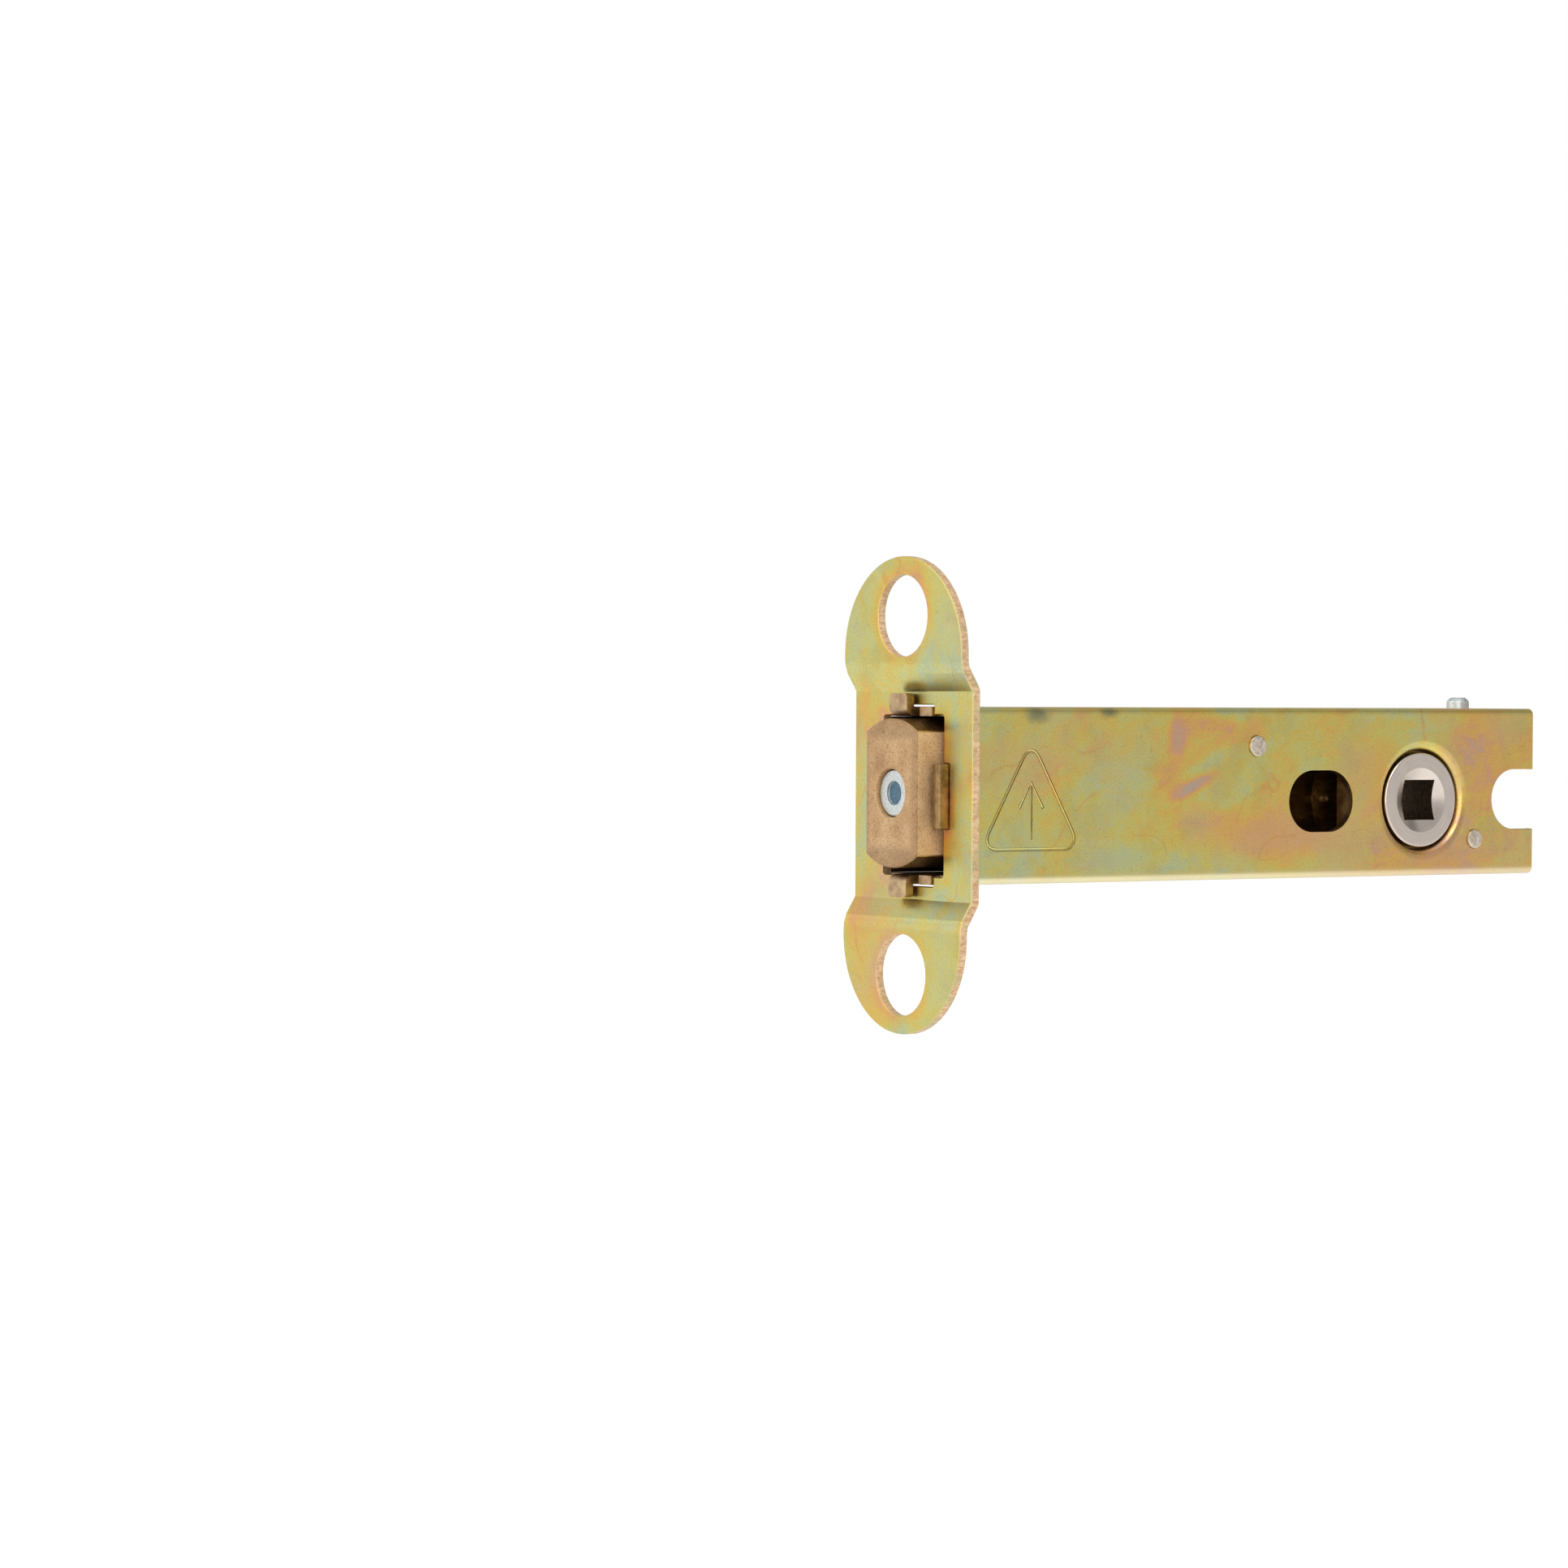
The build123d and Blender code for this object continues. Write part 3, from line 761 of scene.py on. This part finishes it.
def inner_shade_sheet():
    """Inner faces in painted shade: brown, uneven and dull."""
    material, place = start_material("inner_shade_sheet")
    unevenness = noise(stretched(place, (2.5, 1, 1)), 2.0, 4.0)
    colour = tint(unevenness, [(0.35, (100, 74, 42)), (0.55, (138, 106, 62)), (0.7, (172, 138, 84))])
    return finish_metal(material, colour, 0.36 + 0.2 * unevenness, unevenness, 0.01)


sheared = sheared_zinc("sheared_zinc", (190, 148, 110), (222, 184, 140), (240, 212, 170))
inner_shade = inner_shade_sheet()

# %% [markdown]
# ## Brass, nickel and clear zinc
# The bolt is brass bar, matt and speckled from the tumbling stones, and darker towards the rim of its end.
# Its round sides are painted dark as painted shade, its flats take a lighter copy as painted light against
# the shade beside them, and the corners between carry a painted highlight. The follower's faces show the
# rings of the lathe tool under the nickel, and the walls of its square are painted dark as painted shade.
# Pins, stud and rivet are zinc without the yellow dip, and the rivet's hollow is blue with a thicker film.
# Lug fronts are rubbed down to a plain plate, and the lugs' sides and the side tabs take a darker copy of
# it as painted shade. Most of these need only a grain and two colours, so one function makes them all.

# %% Brass, nickel and clear zinc
RIVET_Z = 0.3
BAR_RIM_Y = 4.4
BAR_RIM_Z = 6.8


def bar_brass(name, dark, middle, light, rim_darkening):
    """Tumbled brass: matt, speckled, paler where it is rubbed, and darker towards the rim of its end."""
    material, place = start_material(name)
    cloud = noise(place, 4.0, 5.0, 0.6)
    across, up = abs(part_of(place, "Y")), abs(part_of(place, "Z") - RIVET_Z)
    rim = place.math("MAXIMUM", across - BAR_RIM_Y, up - BAR_RIM_Z)
    # darker towards the rim of the bolt's end
    near_rim = step(rim + 1.6 * (cloud - 0.5), -0.5, 0.8)
    pit = step(noise(place, 0.24, 2.0, 0.65), 0.52, 0.68)
    nick = step(noise(place, 0.16, 2.0, 0.6), 0.60, 0.70)
    colour = tint(cloud, [(0.3, dark), (0.5, middle), (0.7, light)])
    coats = [(rim_darkening, near_rim, (118, 86, 54)), (0.55, pit, (122, 88, 56)), (0.6, nick, (228, 200, 160))]
    colour = coated(colour, coats)
    return finish_metal(material, colour, 0.50 + 0.14 * pit, nick - pit, 0.025, metallic=DULL_METALLIC)


def turned_nickel():
    """Nickel over a lathe-turned face: fine rings about the follower's axis."""
    material, place = start_material("nickel_plate")
    across, up = part_of(place, "X") - SPINDLE.x, part_of(place, "Z") - SPINDLE.z
    reach = place.math("POWER", across * across + up * up, 0.5)
    rings = noise(place.node("CombineXYZ", {}, {"X": reach}), 0.22, 3.0, 0.6)
    cloud = noise(place, 2.5, 3.0)
    colour = tint(0.7 * rings + 0.3 * cloud, [(0.3, (198, 185, 174)), (0.7, (222, 210, 200))])
    return finish_metal(material, colour, 0.20 + 0.10 * rings, rings, 0.005)


def plate(name, dark, light, rough, grain, depth):
    """A plain finish of two colours, with its least roughness and its grain's size and depth."""
    material, place = start_material(name)
    speckle = noise(place, grain, 3.0, 0.6)
    colour = tint(speckle, [(0.32, dark), (0.68, light)])
    return finish_metal(material, colour, rough + 0.12 * speckle, speckle, depth)


brass = bar_brass("tumbled_brass", (168, 128, 84), (194, 154, 107), (210, 173, 127), rim_darkening=0.4)
# painted light: a lighter copy of the brass for the flats, against the shade cast beside them
lit_flat_brass = bar_brass("lit_flat_brass", (200, 158, 112), (222, 182, 134), (234, 199, 153), rim_darkening=0.0)
# painted shade: a dark copy of the brass for the bolt's round sides, which face up and down
round_side_shade = plate("round_side_shade", (70, 52, 32), (132, 100, 62), rough=0.42, grain=0.35, depth=0.03)
# painted highlight: a pale brass for the corners between the bolt's flats and round sides
edge_highlight_brass = plate("edge_highlight_brass", (206, 164, 106), (240, 208, 152), rough=0.34, grain=0.4, depth=0.02)
worn_lug = plate("worn_lug", (160, 132, 102), (206, 178, 136), rough=0.34, grain=1.4, depth=0.02)
# painted shade: a darker copy of the lug plate for the lugs' sides and the side tabs
tab_shade = plate("tab_shade", (118, 92, 62), (174, 142, 96), rough=0.34, grain=1.4, depth=0.02)
nickel = turned_nickel()
white_zinc = plate("white_zinc", (186, 190, 190), (220, 224, 222), rough=0.40, grain=0.3, depth=0.02)
blue_zinc = plate("blue_zinc", (78, 105, 121), (104, 132, 148), rough=0.40, grain=0.4, depth=0.02)
rubbed_zinc = plate("rubbed_zinc", (184, 171, 151), (228, 216, 198), rough=0.28, grain=0.4, depth=0.03)
# painted shade: dark brown for the walls of the follower's square hole
square_hole_shade = plate("square_hole_shade", (66, 52, 38), (104, 84, 62), rough=0.42, grain=0.5, depth=0.01)
spring_steel = plate(
    "oiled_spring_steel", (92, 88, 84), (124, 120, 116), rough=0.34, grain=0.6, depth=0.008
)

# %% [markdown]
# ## Putting the finishes on
# Each piece first takes one finish all over. Then some of its faces take another, as where a tool cut the
# sheet after it was rolled, or a lug is rubbed, or where a darker or lighter copy is painted on as shade or
# highlight. The faces are told apart by their place, in millimetres, and by the way they look, so nothing
# has to be picked by hand.

# %% Give each piece its finish
FINISH_OF = [
    (forend, forend_zinc),
    (case_channel, case_zinc),
    (case_cover, case_zinc),
    # painted shade: the drawbar runs inside the case
    (drawbar, inner_shade),
    (follower, nickel),
    (bolt_head, brass),
    (bolt_rivet, white_zinc),
    (guide_pin, rubbed_zinc),
    (spring_pin, rubbed_zinc),
    (stop_stud, white_zinc),
    (detent_spring, spring_steel),
]
for piece, material in FINISH_OF:
    piece.data.materials.append(material)
print(len(FINISH_OF), "pieces finished")


# %% Sheet faces with a finish of their own
CASE_FRONT = 2.0
CASE_REAR = 99.0
INSIDE_FRONT = 1.9
INNER_Y = 6.25
OUTER_Y = 7.35
INNER_Z = 9.9
HOLE_Z = 9.7
COLLAR_REACH = 7.9
TAB_Y = 6.1
LUG_FRONT = 0.59


def dress(piece, material, wanted):
    """Gives the faces that pass a test another finish than the rest of their piece."""
    take(piece)
    piece.data.materials.append(material)
    chosen = [face for face in piece.data.polygons if wanted(face.center / MM, face.normal)]
    for face in chosen:
        face.material_index = len(piece.data.materials) - 1
    print(piece.name, len(chosen), "faces in", material.name)


def is_inside(spot, normal):
    """True for faces that look into the case."""
    return spot.x > INSIDE_FRONT and abs(spot.y) < INNER_Y and abs(spot.z) < INNER_Z


def is_end(spot, normal):
    """True for the case's sheared ends."""
    return abs(normal.x) > 0.8 and spot.x > TAB_ROOT and not CASE_FRONT < spot.x < CASE_REAR


def is_tab(spot, normal):
    """True for the tabs and lugs that reach through the forend, but not for a lug's front."""
    side_tab = abs(spot.y) > TAB_Y
    return spot.x < TAB_ROOT and (side_tab or normal.x > -0.6)


def is_hole_wall(spot, normal):
    """True for the walls of the holes through the case's sides, outside the drawn collar."""
    wall = max(abs(normal.x), abs(normal.z)) > 0.7 and INNER_Y < abs(spot.y) < OUTER_Y
    within = CASE_FRONT < spot.x < CASE_REAR and abs(spot.z) < HOLE_Z
    return wall and within and from_spindle(spot) > COLLAR_REACH


dress(forend, sheared, lambda spot, normal: abs(normal.x) < 0.45)
for side in (case_channel, case_cover):
    # painted shade inside the case and on its hole walls
    dress(side, inner_shade, is_inside)
    dress(side, inner_shade, is_hole_wall)
    dress(side, sheared, is_end)
    dress(side, worn_lug, lambda spot, normal: spot.x < LUG_FRONT)
    # painted shade on the lugs' sides and the side tabs
    dress(side, tab_shade, is_tab)

# %% Turned and sawn faces with a finish of their own
BORE_REACH = 3.5
SQUARE_REACH = 3.7
FLANGE_Y = 5.3
HOLLOW_X = (-2.1, -1.8)
ROUND_SIDE = 0.58
FLAT_SIDE = 0.97


def in_bore(spot):
    """True near the axis of the rivet, where the bolt is bored."""
    return sqrt(spot.y ** 2 + (spot.z - RIVET_Z) ** 2) < BORE_REACH


def is_round_side(spot, normal):
    """True for the round sides of the bar."""
    return abs(normal.y) < ROUND_SIDE and abs(normal.x) < 0.3 and not in_bore(spot)


def is_bar_flat(spot, normal):
    """True for the two flats of the bar."""
    return abs(normal.y) > FLAT_SIDE and not in_bore(spot)


def is_bar_corner(spot, normal):
    """True for the corners between a flat and a round side, which carry a painted highlight."""
    return ROUND_SIDE < abs(normal.y) < FLAT_SIDE and abs(normal.x) < 0.2 and not in_bore(spot)


def is_square(spot, normal):
    """True for the walls of the follower's square hole."""
    return from_spindle(spot) < SQUARE_REACH and abs(normal.y) < 0.3


def is_flange(spot, normal):
    """True for the parts of the follower that run inside the case."""
    return abs(spot.y) < FLANGE_Y and from_spindle(spot) > SQUARE_REACH


def is_hollow(spot, normal):
    """True for the floor of the hollow in the rivet's head."""
    return HOLLOW_X[0] < spot.x < HOLLOW_X[1] and normal.x < -0.9


# painted shade on the bolt's round sides
dress(bolt_head, round_side_shade, is_round_side)
# painted light on the bolt's flats
dress(bolt_head, lit_flat_brass, is_bar_flat)
# painted highlight on the bolt's corners
dress(bolt_head, edge_highlight_brass, is_bar_corner)
# painted shade inside the follower's square
dress(follower, square_hole_shade, is_square)
# painted shade on the parts of the follower inside the case
dress(follower, inner_shade, is_flange)
dress(bolt_rivet, blue_zinc, is_hollow)

# %% [markdown]
# ## Floor, sky and lamps
# Bright metal looks like what stands round it. A white sweep, a dim cornice, a dim right-hand side and four
# soft lamps give it something plain to mirror, so that a round has a light and a dark side. The lens sees a
# white sweep and a white sky. In gloss the sweep is dimmer, apart from a pool of light below the near side,
# which the lower fold mirrors. The scattered light that falls on the object stays at a plain level.

# %% Floor
FLOOR_Z = -0.115
SWEEP_SIZE = 6.0
POOL_MIDDLE = (0.10, -0.08, FLOOR_Z)
POOL_HALF = (0.16, 0.22, 0.2)
RAYS = ("Is Camera Ray", "Is Glossy Ray", "Is Transmission Ray")
take(forend)
bpy.ops.object.select_all(action="DESELECT")
bpy.ops.mesh.primitive_plane_add(size=SWEEP_SIZE, location=(0.05, 0, FLOOR_Z))
floor = bpy.context.object
floor.name = "white_sweep"
bpy.ops.object.transform_apply(location=True)
sweep = bpy.data.materials.new("white_sweep")
sweep.use_nodes = True
sweep.node_tree.nodes.clear()
wire = Wire(sweep.node_tree)
card = wire.node("BsdfDiffuse", {}, {"Color": (0.86, 0.86, 0.86, 1)})
lens, gloss, clear = (wire.node("LightPath", out=name) for name in RAYS)
seen_directly = wire.math("MINIMUM", lens + gloss + clear, 1.0)
pool = stain(wire.node("TexCoord", out="Object"), POOL_MIDDLE, POOL_HALF)
strength = 0.55 * seen_directly + gloss * (0.32 * pool - 0.25)
glow = wire.node("Emission", {}, {"Color": (1, 1, 1, 1), "Strength": strength})
both = wire.node("AddShader", {}, {0: card, 1: glow})
wire.node("OutputMaterial", {}, {"Surface": both})
floor.data.materials.append(sweep)
print("sweep", SWEEP_SIZE, "m wide, at a height of", FLOOR_Z, "m")

# %% Sky
world = bpy.data.worlds.new("white_studio")
bpy.context.scene.world = world
world.use_nodes = True
world.node_tree.nodes.clear()
wire = Wire(world.node_tree)
toward = wire.node("TexCoord", out="Generated")
height = part_of(toward, "Z")
cornice = step(height - 0.35 * part_of(toward, "Y"), 0.12, 0.55) * (1.0 - step(height, 0.60, 0.92))
shadow_side = step(part_of(toward, "X"), 0.25, 1.0)
lens, gloss, clear = (wire.node("LightPath", out=name) for name in RAYS)
mirrored = 0.86 - 0.42 * cornice - 0.24 * shadow_side
scattered = 0.6
unseen = (1.0 - lens) * (1.0 - clear)
level = lens + clear + unseen * (gloss * mirrored + (1.0 - gloss) * scattered)
sky = wire.node("Background", {}, {"Color": (1, 1, 1, 1), "Strength": level})
wire.node("OutputWorld", {}, {"Surface": sky})
print("sky of", len(world.node_tree.nodes), "nodes")


# %% Lamps
LOCK_MIDDLE = Vector((0.045, 0, 0))


def soft_lamp(name, spot, width, height, watts):
    """A soft box that looks at the middle of the lock."""
    lamp = bpy.data.objects.new(name, bpy.data.lights.new(name, "AREA"))
    bpy.context.scene.collection.objects.link(lamp)
    lamp.data.shape = "RECTANGLE"
    lamp.data.size, lamp.data.size_y = width, height
    lamp.data.energy = watts
    lamp.location = spot
    aim = LOCK_MIDDLE - lamp.location
    lamp.rotation_euler = aim.to_track_quat("-Z", "Y").to_euler()
    print(name, "at", tuple(spot))


soft_lamp("left_lamp", (-0.9, 0.35, 0.55), width=1.1, height=1.1, watts=4.1)
soft_lamp("front_lamp", (-0.66, -0.9, 0.22), width=0.8, height=1.0, watts=3.8)
soft_lamp("top_lamp", (-0.25, -0.7, 0.85), width=0.5, height=0.5, watts=2.4)
soft_lamp("right_lamp", (0.9, -0.9, 0.5), width=0.7, height=0.7, watts=0.6)
